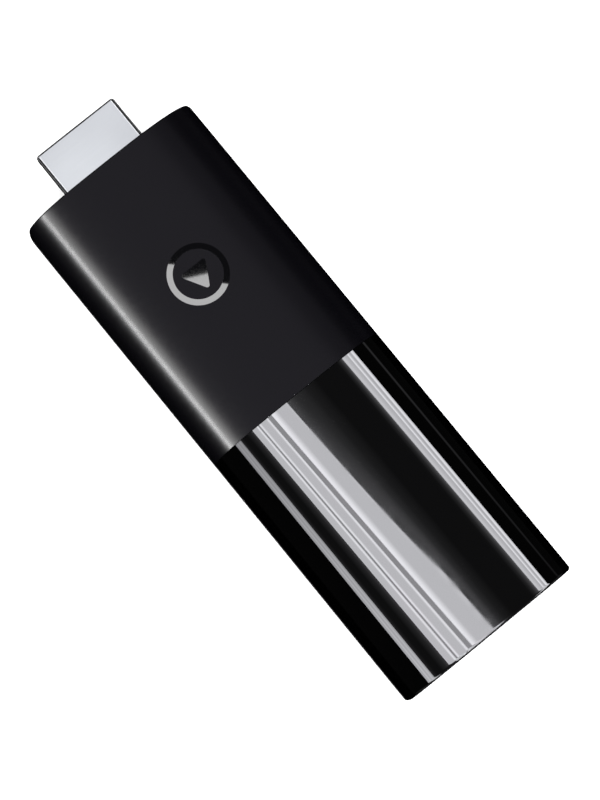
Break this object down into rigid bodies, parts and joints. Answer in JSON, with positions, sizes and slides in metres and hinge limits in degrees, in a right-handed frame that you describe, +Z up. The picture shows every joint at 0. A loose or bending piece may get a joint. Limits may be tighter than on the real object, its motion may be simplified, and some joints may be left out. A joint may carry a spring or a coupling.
{
  "type": "streaming media player",
  "caption": "Slim stick-shaped streaming media player that plugs into a television's video socket, with a side power inlet; half matte, half gloss black housing.",
  "frame": {"origin": "centre of the underside of the bounding box, on the surface the stick lies on", "axes": "+Y along the stick towards the video plug, +Z up through the top cover, +X across towards the side with the power socket"},
  "size_m": [0.0294, 0.0924, 0.0152],
  "materials": {
    "gloss_cover": "high-gloss black on the tail half, fine matte charcoal on the plug half",
    "matte_cover": "fine matte charcoal moulding",
    "plug_steel": "bright nickel plating over bent sheet",
    "socket_steel": "satin plated sheet",
    "connector_black": "plain moulded connector plastic",
    "contact_gold": "gold-plated copper alloy",
    "board": "green solder mask over glass-fibre laminate",
    "chip_epoxy": "moulded chip epoxy",
    "ferrite": "sintered ferrite",
    "ceramic": "pale ceramic",
    "tantalum": "moulded capacitor case",
    "tinned_sheet": "tinned thin sheet",
    "thermal_pad": "soft silicone pad",
    "aluminium_sheet": "rolled sheet",
    "antenna_metal": "stamped copper alloy",
    "screw_steel": "plated screw steel",
    "light_pipe": "clear moulding",
    "led_package": "white package with a pale phosphor"
  },
  "bodies": {
    "root": {"top_cover": "gloss_cover", "bottom_cover": "matte_cover", "video_plug_shell": "plug_steel", "video_plug_insulator": "connector_black", "power_socket_shell": "socket_steel", "power_socket_tongue": "connector_black", "status_led": "led_package", "light_pipe": "light_pipe", "main_board": "board", "processor": "chip_epoxy", "memory_chip_1": "chip_epoxy", "memory_chip_2": "chip_epoxy", "storage_chip": "chip_epoxy", "power_chip": "chip_epoxy", "buck_regulator_1": "chip_epoxy", "buck_regulator_2": "chip_epoxy", "surge_array": "chip_epoxy", "power_inductor_1": "ferrite", "power_inductor_2": "ferrite", "power_inductor_3": "ferrite", "bulk_capacitor_1": "tantalum", "bulk_capacitor_2": "tantalum", "input_fuse": "ceramic", "system_crystal": "tinned_sheet", "wireless_module": "board", "wireless_module_can": "tinned_sheet", "antenna_1": "antenna_metal", "antenna_2": "antenna_metal", "upper_shield_frame": "tinned_sheet", "upper_shield_lid": "tinned_sheet", "lower_shield_frame": "tinned_sheet", "lower_shield_lid": "tinned_sheet", "upper_chip_pad": "thermal_pad", "upper_lid_pad": "thermal_pad", "lower_chip_pad": "thermal_pad", "lower_lid_pad": "thermal_pad", "upper_heat_spreader": "aluminium_sheet", "lower_heat_spreader": "aluminium_sheet", "board_screw_left": "screw_steel", "board_screw_right": "screw_steel", "video_contact_01": "contact_gold", "video_contact_02": "contact_gold", "video_contact_03": "contact_gold", "video_contact_04": "contact_gold", "video_contact_05": "contact_gold", "video_contact_06": "contact_gold", "video_contact_07": "contact_gold", "video_contact_08": "contact_gold", "video_contact_09": "contact_gold", "video_contact_10": "contact_gold", "video_contact_11": "contact_gold", "video_contact_12": "contact_gold", "video_contact_13": "contact_gold", "video_contact_14": "contact_gold", "video_contact_15": "contact_gold", "video_contact_16": "contact_gold", "video_contact_17": "contact_gold", "video_contact_18": "contact_gold", "video_contact_19": "contact_gold"}
  },
  "joints": []
}
